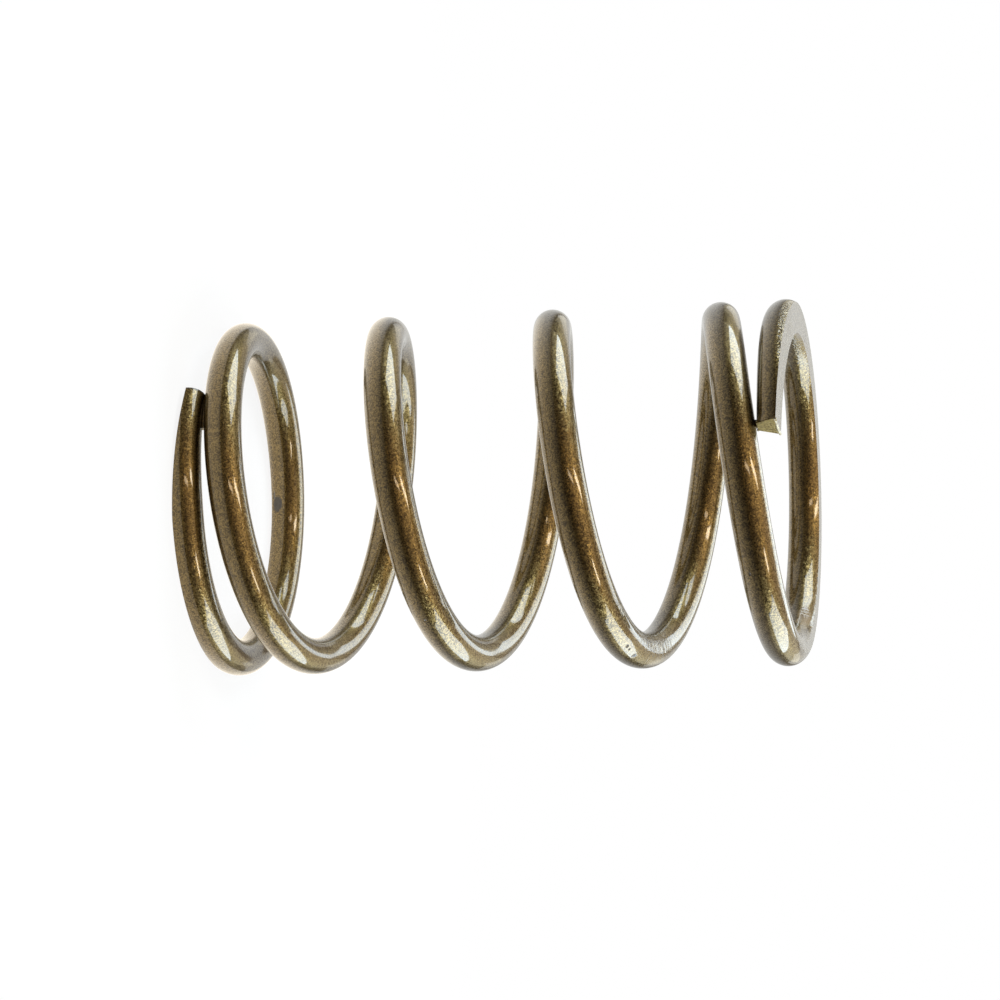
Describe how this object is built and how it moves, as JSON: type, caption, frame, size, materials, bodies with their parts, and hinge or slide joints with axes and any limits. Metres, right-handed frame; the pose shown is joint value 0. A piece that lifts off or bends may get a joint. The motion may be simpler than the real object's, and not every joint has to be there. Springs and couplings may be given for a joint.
{
  "type": "clutch spring",
  "caption": "Compression spring of round painted wire with wide right-hand coils and closed ends that are cut square and ground flat.",
  "frame": {"origin": "on the axis of the coils, in the plane of the lower ground seat", "axes": "+Z along the axis of the coils towards the upper seat; the spring stands on its lower end"},
  "size_m": [0.059, 0.059, 0.0966],
  "materials": {
    "painted_wire": "glossy metallic bronze paint over steel spring wire"
  },
  "bodies": {
    "root": {"coil_spring": "painted_wire"}
  },
  "joints": []
}
